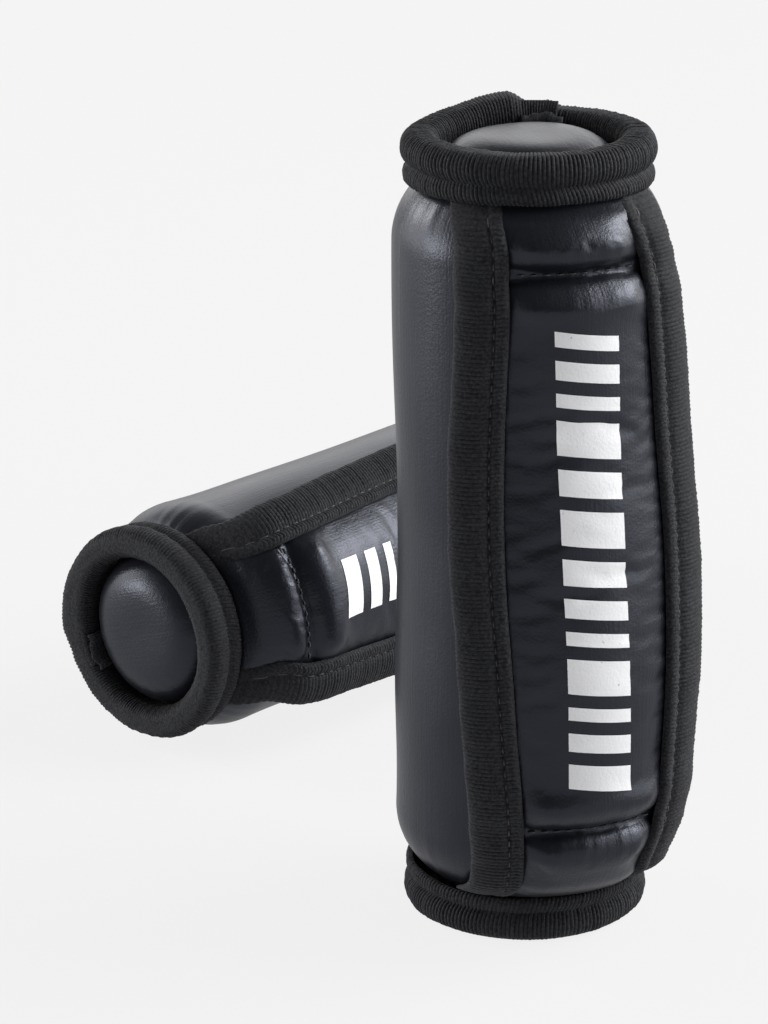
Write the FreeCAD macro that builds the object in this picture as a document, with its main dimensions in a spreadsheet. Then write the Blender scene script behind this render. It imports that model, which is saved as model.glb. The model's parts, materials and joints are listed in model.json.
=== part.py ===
import FreeCAD, Part
import math
import os
import re

import Sketcher

# A pair of soft weighted hand grips.  Each is a padded cylinder of iron sand in a sewn cover, with a
# rolled knit rim round each end and a padded hand strap down one side.  One grip stands on its
# foot rim and the other lies behind it with its strap towards the front.
#
# Frame: millimetres, +Z up, the origin at the middle of the standing grip's foot, its strap on -Y.
# Each grip is drawn about its own middle, with its length along Z and its strap towards +Y.
# "depth" is the distance in from an end of the grip.

doc = FreeCAD.newDocument("hand_grips")

# ---------------------------------------------------------------------------------- sizes
SIZES = {
    # the filled body
    "grip_length": 190,
    "body_diameter": 63,
    "shoulder_length": 14,
    "cover_wall": 1.2,
    "foam_wall": 4,
    "bag_wall": 0.6,
    "bag_corner": 5,
    "foam_edge": 1.1,
    "sleeve_drop": 4.5,
    # the rolled rim
    "rim_diameter": 58,
    "roll_thickness": 8,
    "foot_flat": 0.4,
    "rim_wall": 1.1,
    "lip_inset": 0.7,
    "roll_depth": "roll_thickness - foot_flat",
    "outer_lip_reach": 3.4,
    "outer_lip_depth": "roll_depth + outer_lip_reach",
    "inner_lip_reach": 1,
    "inner_lip_depth": "roll_depth + inner_lip_reach",
    "allowance_depth": 3,
    # the domed end disc
    "dome_rise": 10.5,
    "disc_drop": 3.5,
    "dome_depth": "roll_depth + disc_drop - dome_rise",
    "disc_wall": 1.2,
    # the hand strap
    "lip_clearance": 0.2,
    "strap_start_depth": "outer_lip_depth + lip_clearance",
    "sleeve_depth": "strap_start_depth + sleeve_drop",
    "strap_face": 0.7,
    "strap_lining": 0.6,
    "strap_pad_least": 0.2,
    "binding_width": 12.5,
    "binding_wall": 0.6,
    "low_seam_depth": 34,
    "high_seam_depth": 25.5,
    "seam_width": 4,
    "panel_length": "grip_length - low_seam_depth - high_seam_depth",
    # how far the strap's cross sections lie from its ends, from its seams and along its panel
    "foot_rise_run": 4,
    "foot_crest_run": 8,
    "low_crest_run": 10,
    "slack_share": 0.24,
    "middle_share": 0.48,
    "upper_share": 0.76,
    "high_crest_run": 8,
    "top_crest_run": 9,
    "top_fall_run": 4,
    # what keeps sewn layers, and the cover and its filling, from sharing a surface
    "layer_gap": 0.15,
    # the lying grip: the place of its middle, where it points and how far its strap turns up
    "lying_x": 20.8,
    "lying_y": 171.6,
    "lying_heading": 29.2,
    "lying_strap_tilt": 18,
}

# The strap's cross sections, from the foot to the top.  Each one has its height up the grip, the
# space between strap and cover, how far its arc's centre lies from the grip's axis towards the
# strap, the width of the face between the bindings, the thickness of the pad and how far the
# strap's middle leans to its left along the arc.
STRAP_SECTIONS = {
    "foot_lip": ("strap_start_depth", "layer_gap", 0, 31, "strap_pad_least", -0.4),
    "foot_rise": ("strap_start_depth + foot_rise_run", 2.4, 2, 31.5, 1.8, 0),
    "foot_crest": ("strap_start_depth + foot_crest_run", 3.4, 5.3, 31.5, 3.4, 0),
    "low_seam": ("low_seam_depth", 8.8, 0.8, 35.5, 0.3, -0.7),
    "low_crest": ("low_seam_depth + low_crest_run", 8.5, 1.2, 37, 3.4, -0.4),
    "slack": ("low_seam_depth + slack_share * panel_length", 8.1, -3.3, 39.8, 3.4, -0.2),
    "middle": ("low_seam_depth + middle_share * panel_length", 4.6, -11, 41.5, 3.4, 0),
    "upper": ("low_seam_depth + upper_share * panel_length", 0.6, -10, 38.2, 3.4, 0.3),
    "high_crest": ("grip_length - high_seam_depth - high_crest_run", 0.45, -3.8, 35, 3.2, 0.8),
    "high_seam": ("grip_length - high_seam_depth", 0.5, -3.5, 34, 0.3, 1),
    "top_crest": ("grip_length - strap_start_depth - top_crest_run", 1, 0.5, 32, 1.5, 2),
    "top_fall": ("grip_length - strap_start_depth - top_fall_run", 1.7, 0, 31, 0.5, 2.6),
    "top_lip": ("grip_length - strap_start_depth", "layer_gap", 0, 30.5, "strap_pad_least", 1.5),
}
SECTION_FIELDS = ("height", "space", "shift", "panel", "pad", "lean")

sheet = doc.addObject("Spreadsheet::Sheet", "Sizes")


def enter(row, alias, size):
    sheet.set(f"A{row}", alias)
    sheet.set(f"B{row}", f"={size}")
    sheet.setAlias(f"B{row}", alias)


cells = dict(SIZES)
for section, fields in STRAP_SECTIONS.items():
    for field, size in zip(SECTION_FIELDS, fields):
        cells[f"{section}_{field}"] = size
for row, (alias, size) in enumerate(cells.items(), start=1):
    enter(row, alias, size)
doc.recompute()


def value(formula):
    """The number that a formula of the sheet's names comes to."""
    return float(sheet.evalExpression(formula))


def bound(formula):
    """The same formula as another object's expression names it."""
    return re.sub(r"[a-z]\w*", lambda word: f"Sizes.{word[0]}" if word[0] in cells else word[0], formula)


# ------------------------------------------------------------------- formulas of the shape
BODY_RADIUS = "(body_diameter / 2)"
RIM_RADIUS = "(rim_diameter / 2)"
ROLL_RADIUS = "(roll_thickness / 2)"
ROLL_CENTRE = f"({RIM_RADIUS} - {ROLL_RADIUS})"
ROLL_CENTRE_DEPTH = f"({ROLL_RADIUS} - foot_flat)"
HOLLOW_RADIUS = f"({ROLL_RADIUS} - rim_wall)"

# The sewn layers inside the rim, from the outer lip inwards.
LIP_OUTER = f"({RIM_RADIUS} - lip_inset)"
LIP_INNER = f"({LIP_OUTER} - rim_wall)"
SEWN_STACK = "(strap_lining + strap_pad_least + strap_face + 2 * layer_gap)"
FLANGE_OUTER = f"({LIP_INNER} - {SEWN_STACK} - 2 * layer_gap)"
FLANGE_INNER = f"({FLANGE_OUTER} - cover_wall)"
DISC_OUTER = f"({FLANGE_INNER} - layer_gap)"
DISC_INNER = f"({DISC_OUTER} - disc_wall)"
INNER_LIP_OUTER = f"({DISC_INNER} - layer_gap)"
INNER_LIP_INNER = f"({INNER_LIP_OUTER} - rim_wall)"

# The cover's shoulder is an arc that leaves the flange and meets the straight side smoothly.
SHOULDER_END = "(strap_start_depth + shoulder_length)"
SHOULDER_STEP = f"({BODY_RADIUS} - {FLANGE_OUTER})"
SHOULDER_ARC = f"(({SHOULDER_STEP} ^ 2 + shoulder_length ^ 2) / (2 * {SHOULDER_STEP}))"
SHOULDER_CENTRE = f"({BODY_RADIUS} - {SHOULDER_ARC})"

# Inside the cover.
SLEEVE_OUTER = f"({BODY_RADIUS} - cover_wall - layer_gap)"
SLEEVE_ARC = f"({SHOULDER_ARC} - cover_wall - layer_gap)"
SLEEVE_INNER = f"({SLEEVE_OUTER} - foam_wall)"
SLEEVE_END = f"({SLEEVE_INNER} + foam_edge)"
SLEEVE_TURN = f"({SHOULDER_END} - sqrt({SLEEVE_ARC} ^ 2 - ({SLEEVE_END} - {SHOULDER_CENTRE}) ^ 2))"
BAG_OUTER = f"({SLEEVE_INNER} - layer_gap)"
BAG_TURN = f"({SHOULDER_END} - {SLEEVE_ARC})"
SAND_OUTER = f"({BAG_OUTER} - bag_wall - layer_gap)"

# The end disc's dome is a cap of a sphere, and its base is where the filling starts.
DOME_ARC = f"((dome_rise ^ 2 + {DISC_INNER} ^ 2) / (2 * dome_rise))"
DOME_BASE_DEPTH = "(dome_depth + dome_rise)"
DISC_BASE_DEPTH = f"({DOME_BASE_DEPTH} + disc_wall)"
FILLING_DEPTH = f"({DISC_BASE_DEPTH} + layer_gap)"
SLEEVE_DEPTH = f"max(sleeve_depth; {SLEEVE_TURN})"
BAG_DEPTH = f"max({FILLING_DEPTH}; {BAG_TURN})"

# The bag's corner is round enough to stay inside the shoulder's arc.
BAG_SIDE = f"({BAG_OUTER} - {SHOULDER_CENTRE})"
BAG_RISE = f"({SHOULDER_END} - {BAG_DEPTH})"
BAG_SPAN = f"({BAG_SIDE} + {BAG_RISE} - {SLEEVE_ARC})"
BAG_ROOT = f"({BAG_SPAN} ^ 2 - {BAG_SIDE} ^ 2 - {BAG_RISE} ^ 2 + {SLEEVE_ARC} ^ 2)"
BAG_CORNER = f"max(bag_corner; {BAG_SPAN} - sqrt(max({BAG_ROOT}; 0)))"
SAND_DEPTH = f"({BAG_DEPTH} + bag_wall + layer_gap)"


def up(depth):
    """The height above the grip's middle of a place at this depth below its top end."""
    return f"(grip_length / 2 - ({depth}))"


def circle_depth(centre_depth, arc, offset):
    """How far from an arc's centre the arc lies, along the grip, at this distance out from it."""
    return f"({centre_depth} - sqrt({arc} ^ 2 - ({offset}) ^ 2))"


# ---------------------------------------------------------------------------- sketch helpers
def origin_plane(body, role):
    return next(plane for plane in body.Origin.OriginFeatures if plane.Role == role)


def new_sketch(body, name, role):
    sketch = body.newObject("Sketcher::SketchObject", name)
    sketch.AttachmentSupport = [(origin_plane(body, role), "")]
    sketch.MapMode = "FlatFace"
    return sketch


def constrain(sketch, formula, kind, *where):
    """Add a constraint whose size is bound to the sheet."""
    number = value(formula)
    size = math.radians(number) if kind == "Angle" else number
    index = sketch.addConstraint(Sketcher.Constraint(kind, *where, size))
    sketch.setExpression(f"Constraints[{index}]", bound(formula))


def draw_outline(sketch, corners):
    """Draw a closed outline of (x, y, arc) corners.

    arc is None for a straight side to the next corner.  Otherwise it is the arc's centre and
    radius and the way it turns, and the side runs round that centre.
    """
    places = [FreeCAD.Vector(value(x), value(y), 0) for x, y, _ in corners]
    normal = FreeCAD.Vector(0, 0, 1)
    reversed_arcs = set()
    for index, (start, (_, _, arc)) in enumerate(zip(places, corners)):
        end = places[(index + 1) % len(places)]
        if arc is None:
            sketch.addGeometry(Part.LineSegment(start, end), False)
            continue
        centre_x, centre_y, radius, turn = arc
        centre = FreeCAD.Vector(value(centre_x), value(centre_y), 0)
        first, last = (start, end) if turn == "left" else (end, start)
        angles = [math.atan2(p.y - centre.y, p.x - centre.x) for p in (first, last)]
        if angles[1] <= angles[0]:
            angles[1] += 2 * math.pi
        circle = Part.Circle(centre, normal, value(radius))
        sketch.addGeometry(Part.ArcOfCircle(circle, *angles), False)
        if turn == "right":
            reversed_arcs.add(index)
    count = len(corners)
    start_point = [2 if index in reversed_arcs else 1 for index in range(count)]
    for index, (x, y, arc) in enumerate(corners):
        following = (index + 1) % count
        end_point = 3 - start_point[index]
        link = Sketcher.Constraint("Coincident", index, end_point, following, start_point[following])
        sketch.addConstraint(link)
        if x == "0":
            sketch.addConstraint(Sketcher.Constraint("PointOnObject", index, start_point[index], -2))
        else:
            constrain(sketch, x, "DistanceX", -1, 1, index, start_point[index])
        if y == "0":
            sketch.addConstraint(Sketcher.Constraint("PointOnObject", index, start_point[index], -1))
        else:
            constrain(sketch, y, "DistanceY", -1, 1, index, start_point[index])
        if arc is not None:
            constrain(sketch, arc[2], "Radius", index)


def turned_body(name, corners, mirrored):
    """A body of one outline turned round the grip's axis, and mirrored about its middle if asked."""
    body = doc.addObject("PartDesign::Body", name)
    sketch = new_sketch(body, f"{name}_outline", "XZ_Plane")
    draw_outline(sketch, corners)
    turned = body.newObject("PartDesign::Revolution", f"{name}_turned")
    turned.Profile = sketch
    turned.ReferenceAxis = (sketch, ["V_Axis"])
    turned.Angle = 360
    if mirrored:
        doc.recompute()
        both = body.newObject("PartDesign::Mirrored", f"{name}_both_ends")
        both.Originals = [turned]
        both.MirrorPlane = (origin_plane(body, "XY_Plane"), [""])
        body.Tip = both
    return body


# --------------------------------------------------------------------- the filled body's pieces
def cover_piece(name):
    """The sewn tube of the cover, drawn in at both ends to a flange inside the rim."""
    inner_arc = f"({SHOULDER_ARC} - cover_wall)"
    inner_turn = circle_depth(SHOULDER_END, inner_arc, f"{FLANGE_INNER} - {SHOULDER_CENTRE}")
    arc_centre = (SHOULDER_CENTRE, up(SHOULDER_END))
    return turned_body(name, [
        (BODY_RADIUS, "0", None),
        (BODY_RADIUS, up(SHOULDER_END), (*arc_centre, SHOULDER_ARC, "left")),
        (FLANGE_OUTER, up("strap_start_depth"), None),
        (FLANGE_OUTER, up("allowance_depth"), None),
        (FLANGE_INNER, up("allowance_depth"), None),
        (FLANGE_INNER, up(inner_turn), (*arc_centre, inner_arc, "right")),
        (f"({BODY_RADIUS} - cover_wall)", up(SHOULDER_END), None),
        (f"({BODY_RADIUS} - cover_wall)", "0", None),
    ], mirrored=True)


def foam_piece(name):
    """The foam sleeve between cover and bag, rounded to the cover's shoulders."""
    reach = f"({SHOULDER_CENTRE} + sqrt({SLEEVE_ARC} ^ 2 - ({SHOULDER_END} - {SLEEVE_DEPTH}) ^ 2))"
    return turned_body(name, [
        (SLEEVE_INNER, "0", None),
        (SLEEVE_OUTER, "0", None),
        (SLEEVE_OUTER, up(SHOULDER_END), (SHOULDER_CENTRE, up(SHOULDER_END), SLEEVE_ARC, "left")),
        (reach, up(SLEEVE_DEPTH), None),
        (SLEEVE_INNER, up(SLEEVE_DEPTH), None),
    ], mirrored=True)


def bag_piece(name):
    """The closed inner bag, with rounded corners and one wall all round."""
    corner_x = f"({BAG_OUTER} - {BAG_CORNER})"
    corner_y = up(f"{BAG_DEPTH} + {BAG_CORNER}")
    inner_side = f"({BAG_OUTER} - bag_wall)"
    inner_corner = f"({BAG_CORNER} - bag_wall)"
    return turned_body(name, [
        (BAG_OUTER, "0", None),
        (BAG_OUTER, corner_y, (corner_x, corner_y, BAG_CORNER, "left")),
        (corner_x, up(BAG_DEPTH), None),
        ("0", up(BAG_DEPTH), None),
        ("0", up(f"{BAG_DEPTH} + bag_wall"), None),
        (corner_x, up(f"{BAG_DEPTH} + bag_wall"), (corner_x, corner_y, inner_corner, "right")),
        (inner_side, corner_y, None),
        (inner_side, "0", None),
    ], mirrored=True)


def sand_piece(name):
    """The iron sand, which fills the bag."""
    corner = f"({BAG_CORNER} - bag_wall - layer_gap)"
    corner_x = f"({SAND_OUTER} - {corner})"
    corner_y = up(f"{SAND_DEPTH} + {corner}")
    return turned_body(name, [
        ("0", "0", None),
        (SAND_OUTER, "0", None),
        (SAND_OUTER, corner_y, (corner_x, corner_y, corner, "left")),
        (corner_x, up(SAND_DEPTH), None),
        ("0", up(SAND_DEPTH), None),
    ], mirrored=True)


# ---------------------------------------------------------------------------- the end's pieces
def rim_piece(name):
    """The rolled knit binding of an end.

    The tape comes up outside the strap's end, rolls over the seam allowances that stand up inside
    it, and goes down inside the disc's flange.  A narrow flat on the roll is what the grip stands on.
    """
    roll = (ROLL_CENTRE, up(ROLL_CENTRE_DEPTH), ROLL_RADIUS, "left")
    hollow = (ROLL_CENTRE, up(ROLL_CENTRE_DEPTH), HOLLOW_RADIUS, "right")
    flat_half = f"sqrt({ROLL_RADIUS} ^ 2 - {ROLL_CENTRE_DEPTH} ^ 2)"

    def below(radius, edge):
        return up(f"{ROLL_CENTRE_DEPTH} + sqrt({radius} ^ 2 - ({edge} - {ROLL_CENTRE}) ^ 2)")

    return turned_body(name, [
        (LIP_INNER, up("outer_lip_depth"), None),
        (LIP_OUTER, up("outer_lip_depth"), None),
        (LIP_OUTER, below(ROLL_RADIUS, LIP_OUTER), roll),
        (f"({ROLL_CENTRE} + {flat_half})", up("0"), None),
        (f"({ROLL_CENTRE} - {flat_half})", up("0"), roll),
        (INNER_LIP_INNER, below(ROLL_RADIUS, INNER_LIP_INNER), None),
        (INNER_LIP_INNER, up("inner_lip_depth"), None),
        (INNER_LIP_OUTER, up("inner_lip_depth"), None),
        (INNER_LIP_OUTER, below(HOLLOW_RADIUS, INNER_LIP_OUTER), hollow),
        (LIP_INNER, below(HOLLOW_RADIUS, LIP_INNER), None),
    ], mirrored=False)


def disc_piece(name):
    """The domed end disc, with the flange that is sewn inside the cover's."""
    dome_centre = f"(dome_depth + {DOME_ARC})"
    under_centre = f"({dome_centre} + disc_wall)"
    return turned_body(name, [
        ("0", up("dome_depth + disc_wall"), ("0", up(under_centre), DOME_ARC, "right")),
        (DISC_INNER, up(DISC_BASE_DEPTH), None),
        (DISC_OUTER, up(DISC_BASE_DEPTH), None),
        (DISC_OUTER, up("allowance_depth"), None),
        (DISC_INNER, up("allowance_depth"), None),
        (DISC_INNER, up(DOME_BASE_DEPTH), ("0", up(dome_centre), DOME_ARC, "left")),
        ("0", up("dome_depth"), None),
    ], mirrored=False)


def disc_pad_piece(name):
    """The foam pad that holds the disc's dome up: flat below and domed above."""
    edge = f"({DISC_INNER} - 2 * layer_gap)"
    pad_top = "(dome_depth + disc_wall + layer_gap)"
    centre = f"({pad_top} + {DOME_ARC})"
    return turned_body(name, [
        ("0", up(DISC_BASE_DEPTH), None),
        (edge, up(DISC_BASE_DEPTH), None),
        (edge, up(circle_depth(centre, DOME_ARC, edge)), ("0", up(centre), DOME_ARC, "left")),
        ("0", up(pad_top), None),
    ], mirrored=False)


# -------------------------------------------------------------------------- the strap's pieces
class StrapSection:
    """One cross section of the strap: an arc about a line along the grip."""

    def __init__(self, name):
        self.name = name
        self.height = f"{name}_height"
        from_end = f"min({self.height}; grip_length - ({self.height}))"
        inwards = f"max({SHOULDER_END} - {from_end}; 0)"
        cover = f"({SHOULDER_CENTRE} + sqrt({SHOULDER_ARC} ^ 2 - {inwards} ^ 2))"
        self.stack = f"(strap_lining + {name}_pad + strap_face + 2 * layer_gap)"
        self.reach = f"({cover} + {name}_space + {self.stack})"
        self.centre = f"{name}_shift"
        self.radius = f"({self.reach} - {name}_shift)"
        self.half_panel = f"({name}_panel / 2)"
        self.half_width = f"({name}_panel / 2 + binding_width)"

    def angle(self, along):
        """The direction of a place this far along the arc from the strap's middle, in degrees."""
        return f"(90 + (({along}) - {self.name}_lean) / {self.radius} * 180 / pi)"


SECTIONS = [StrapSection(name) for name in STRAP_SECTIONS]


def draw_arc_band(body, name, section, corners):
    """Draw a closed outline of arcs and radial sides about the section's centre.

    Each corner is (depth under the strap's face, distance along the arc from its middle).  Two
    corners in a row share one of the two.
    """
    sketch = new_sketch(body, f"{name}_{section.name}", "XY_Plane")
    sketch.setExpression("AttachmentOffset.Base.z", bound(f"{section.height} - grip_length / 2"))
    centre = FreeCAD.Vector(0, value(section.centre), 0)
    radii = [f"({section.radius} - ({under}))" for under, _ in corners]
    angles = [section.angle(along) for _, along in corners]

    def place(index):
        turn = math.radians(value(angles[index]))
        reach = value(radii[index])
        return centre + FreeCAD.Vector(reach * math.cos(turn), reach * math.sin(turn), 0)

    count = len(corners)
    start_point = []
    for index in range(count):
        following = (index + 1) % count
        if corners[index][0] != corners[following][0]:
            sketch.addGeometry(Part.LineSegment(place(index), place(following)), False)
            start_point.append(1)
            continue
        ends = [math.radians(value(angles[index])), math.radians(value(angles[following]))]
        circle = Part.Circle(centre, FreeCAD.Vector(0, 0, 1), value(radii[index]))
        sketch.addGeometry(Part.ArcOfCircle(circle, min(ends), max(ends)), False)
        start_point.append(1 if ends[0] < ends[1] else 2)
    arcs = [index for index in range(count) if corners[index][0] == corners[(index + 1) % count][0]]
    first_arc = arcs[0]
    for index in range(count):
        following = (index + 1) % count
        end_point = 3 - start_point[index]
        link = Sketcher.Constraint("Coincident", index, end_point, following, start_point[following])
        sketch.addConstraint(link)
        if index in arcs:
            constrain(sketch, radii[index], "Radius", index)
            if index != first_arc:
                sketch.addConstraint(Sketcher.Constraint("Coincident", first_arc, 3, index, 3))
            continue
        outwards = value(radii[following]) > value(radii[index])
        direction = angles[index] if outwards else f"({angles[index]} + 180)"
        constrain(sketch, direction, "Angle", index)
        sketch.addConstraint(Sketcher.Constraint("PointOnObject", first_arc, 3, index))
    sketch.addConstraint(Sketcher.Constraint("PointOnObject", first_arc, 3, -2))
    if value(section.centre) == 0:
        sketch.addConstraint(Sketcher.Constraint("PointOnObject", first_arc, 3, -1))
    else:
        constrain(sketch, section.centre, "DistanceY", -1, 1, first_arc, 3)
    return sketch


def lofted_body(name, corners_of):
    """A body lofted through every strap section; corners_of gives a section's corners.

    The loft runs straight from section to section, so that every layer of the strap stays the
    same distance from the next.
    """
    body = doc.addObject("PartDesign::Body", name)
    sketches = [draw_arc_band(body, name, section, corners_of(section)) for section in SECTIONS]
    loft = body.newObject("PartDesign::AdditiveLoft", f"{name}_loft")
    loft.Profile = sketches[0]
    loft.Sections = sketches[1:]
    loft.Ruled = True
    return body, sketches


def add_sewn_tails(body, name, sketches):
    """Carry a layer on under the rim's lip to the seam allowance, at both ends."""
    doc.recompute()
    for end, sketch, backwards in (("foot", sketches[0], True), ("top", sketches[-1], False)):
        tail = body.newObject("PartDesign::Pad", f"{name}_{end}_tail")
        tail.Profile = sketch
        tail.setExpression("Length", bound("strap_start_depth - allowance_depth"))
        tail.Reversed = backwards


def band(outer, inner, half):
    """The corners of a plain layer, between two depths under the face."""
    return [(inner, f"-({half})"), (inner, half), (outer, half), (outer, f"-({half})")]


def inside_binding(section):
    return f"({section.half_width} - binding_wall - layer_gap)"


def strap_face_piece(name):
    """The strap's outer cover, which runs under both bindings."""
    body, sketches = lofted_body(name, lambda section: band("0", "strap_face", inside_binding(section)))
    add_sewn_tails(body, name, sketches)
    return body


def strap_lining_piece(name):
    """The strap's inner cover, between the bindings' inner legs."""
    def corners(section):
        top = f"({section.stack} - strap_lining)"
        return band(top, section.stack, f"({section.half_panel} - layer_gap)")

    body, sketches = lofted_body(name, corners)
    add_sewn_tails(body, name, sketches)
    return body


def strap_pad_piece(name, low, high):
    """The part of the strap's foam between two heights, with its ends cut square at the seams."""
    def corners(section):
        top = "(strap_face + layer_gap)"
        bottom = f"({top} + {section.name}_pad)"
        return band(top, bottom, inside_binding(section))

    body, _ = lofted_body(name, corners)
    doc.recompute()
    sketch = new_sketch(body, f"{name}_ends", "XZ_Plane")
    for index, (start, end) in enumerate((("0", low), (high, "grip_length"))):
        left, right = "-body_diameter", "body_diameter"
        bottom, top = f"({start} - grip_length / 2)", f"({end} - grip_length / 2)"
        places = [(left, bottom), (right, bottom), (right, top), (left, top)]
        vectors = [FreeCAD.Vector(value(x), value(y), 0) for x, y in places]
        for side in range(4):
            sketch.addGeometry(Part.LineSegment(vectors[side], vectors[(side + 1) % 4]), False)
        for side, (x, y) in enumerate(places):
            line = 4 * index + side
            following = 4 * index + (side + 1) % 4
            sketch.addConstraint(Sketcher.Constraint("Coincident", line, 2, following, 1))
            constrain(sketch, x, "DistanceX", -1, 1, line, 1)
            constrain(sketch, y, "DistanceY", -1, 1, line, 1)
    doc.recompute()
    whole = body.Shape.Volume
    cut = body.newObject("PartDesign::Pocket", f"{name}_cut")
    cut.Profile = sketch
    cut.Type = "ThroughAll"
    cut.Midplane = True
    doc.recompute()
    if not 0 < body.Shape.Volume < whole:
        raise RuntimeError(f"{name}: its ends were not cut")
    return body


def strap_binding_piece(name, side):
    """A knit tape folded round one edge of the strap, a leg on its face and a leg on its lining."""
    def corners(section):
        edge = f"({side} * {section.half_width})"
        web = f"({side} * ({section.half_width} - binding_wall))"
        legs_end = f"({side} * {section.half_panel})"
        top = "-(binding_wall + layer_gap)"
        under_top = "-layer_gap"
        bottom = section.stack
        over_bottom = f"({section.stack} - binding_wall)"
        return [
            (top, legs_end), (top, edge), (bottom, edge), (bottom, legs_end),
            (over_bottom, legs_end), (over_bottom, web), (under_top, web), (under_top, legs_end),
        ]

    body, _ = lofted_body(name, corners)
    return body


# ------------------------------------------------------------------------------ the two grips
low_pad_end = "low_seam_depth - seam_width / 2"
main_pad_start = "low_seam_depth + seam_width / 2"
main_pad_end = "grip_length - high_seam_depth - seam_width / 2"
high_pad_start = "grip_length - high_seam_depth + seam_width / 2"

half_turn = FreeCAD.Rotation(FreeCAD.Vector(0, 0, 1), 180)
end_for_end = FreeCAD.Placement(FreeCAD.Vector(0, 0, 0), FreeCAD.Rotation(FreeCAD.Vector(0, 1, 0), 180))
standing = FreeCAD.Placement(FreeCAD.Vector(0, 0, value("grip_length") / 2), half_turn)

heading = math.radians(value("lying_heading"))
tilt = math.radians(value("lying_strap_tilt"))
along = FreeCAD.Vector(math.cos(heading), math.sin(heading), 0)
level = FreeCAD.Vector(math.sin(heading), -math.cos(heading), 0)
strap_way = level * math.cos(tilt) + FreeCAD.Vector(0, 0, 1) * math.sin(tilt)
lying_turn = FreeCAD.Rotation(strap_way.cross(along), strap_way, along, "ZYX")
lying_middle = FreeCAD.Vector(value("lying_x"), value("lying_y"), value(BODY_RADIUS))
lying = FreeCAD.Placement(lying_middle, lying_turn)


def grip(prefix, place):
    """Every piece of one grip, in its place."""
    pieces = {}
    pieces["cover"] = cover_piece(f"{prefix}_cover")
    pieces["foam_sleeve"] = foam_piece(f"{prefix}_foam_sleeve")
    pieces["sand_bag"] = bag_piece(f"{prefix}_sand_bag")
    pieces["iron_sand"] = sand_piece(f"{prefix}_iron_sand")
    for end in ("top", "bottom"):
        pieces[f"{end}_disc"] = disc_piece(f"{prefix}_{end}_disc")
        pieces[f"{end}_disc_pad"] = disc_pad_piece(f"{prefix}_{end}_disc_pad")
        pieces[f"{end}_rim"] = rim_piece(f"{prefix}_{end}_rim")
    pieces["strap_face"] = strap_face_piece(f"{prefix}_strap_face")
    pieces["strap_lining"] = strap_lining_piece(f"{prefix}_strap_lining")
    pads = {
        "lower": ("strap_start_depth", low_pad_end),
        "main": (main_pad_start, main_pad_end),
        "upper": (high_pad_start, "grip_length - strap_start_depth"),
    }
    for part_of_strap, (low, high) in pads.items():
        pad_name = f"strap_{part_of_strap}_pad"
        pieces[pad_name] = strap_pad_piece(f"{prefix}_{pad_name}", low, high)
    for side_name, side in (("left", -1), ("right", 1)):
        binding_name = f"strap_binding_{side_name}"
        pieces[binding_name] = strap_binding_piece(f"{prefix}_{binding_name}", side)
    doc.recompute()
    for name, piece in pieces.items():
        piece.Label = f"{prefix}_{name}"
        piece.Placement = place.multiply(end_for_end) if name.startswith("bottom_") else place
    return list(pieces.values())


parts = grip("grip_a", standing) + grip("grip_b", lying)
doc.recompute()

# ------------------------------------------------------------------------- check and write out
for item in doc.Objects:
    if {"Invalid", "Error"} & set(item.State):
        raise RuntimeError(f"{item.Label} failed: {item.State}")
for piece in parts:
    if piece.Shape.isNull() or not piece.Shape.isValid() or len(piece.Shape.Solids) != 1:
        raise RuntimeError(f"{piece.Label} is not one valid solid")

os.makedirs("parts", exist_ok=True)
for piece in parts:
    piece.Shape.exportStep(f"parts/{piece.Label}.step")
    print(f"{piece.Label}: {piece.Shape.Volume / 1000:.2f} cm3")
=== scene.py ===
import json
import math

import bpy
import numpy as np
from mathutils import Matrix, Vector


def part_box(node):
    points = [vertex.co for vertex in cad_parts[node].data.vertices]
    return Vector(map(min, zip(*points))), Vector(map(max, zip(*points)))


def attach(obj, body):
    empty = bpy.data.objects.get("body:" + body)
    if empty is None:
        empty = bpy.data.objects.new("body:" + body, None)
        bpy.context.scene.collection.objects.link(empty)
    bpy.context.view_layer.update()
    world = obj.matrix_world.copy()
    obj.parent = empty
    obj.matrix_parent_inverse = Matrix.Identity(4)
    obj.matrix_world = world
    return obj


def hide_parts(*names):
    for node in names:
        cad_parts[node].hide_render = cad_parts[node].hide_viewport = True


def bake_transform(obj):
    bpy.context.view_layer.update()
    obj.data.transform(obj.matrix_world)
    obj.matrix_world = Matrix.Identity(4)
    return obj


# A pair of soft weighted hand grips, one standing and one lying behind it.  Lengths are in
# millimetres up to Grip.point(), which turns a grip's own coordinates into metres in the frame.

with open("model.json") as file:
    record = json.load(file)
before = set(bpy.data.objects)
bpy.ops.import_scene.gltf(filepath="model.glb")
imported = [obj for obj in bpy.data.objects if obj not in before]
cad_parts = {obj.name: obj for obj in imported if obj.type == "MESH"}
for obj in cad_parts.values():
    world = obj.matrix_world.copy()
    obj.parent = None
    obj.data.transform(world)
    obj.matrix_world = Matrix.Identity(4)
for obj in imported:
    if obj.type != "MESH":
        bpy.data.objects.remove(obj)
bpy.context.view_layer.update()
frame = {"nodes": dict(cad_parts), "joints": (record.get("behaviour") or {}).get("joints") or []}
MM = 0.001
TAU = 2 * math.pi

# ------------------------------------------------------------------------------ the two grips
ROLL_RADIUS = 4.0
ROLL_CENTRE = 25.0
ROLL_DEPTH = 3.6
DISC_RADIUS = 22.5
DOME_DEPTH = 0.6
BODY_RADIUS = 31.5
SHOULDER_END = 25.2
SHOULDER_ARC = 18.51
SHOULDER_CENTRE = BODY_RADIUS - SHOULDER_ARC
STRAP_START = 11.2
FACE_WALL = 0.7
LINING_WALL = 0.6
LAYER_GAP = 0.15
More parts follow.
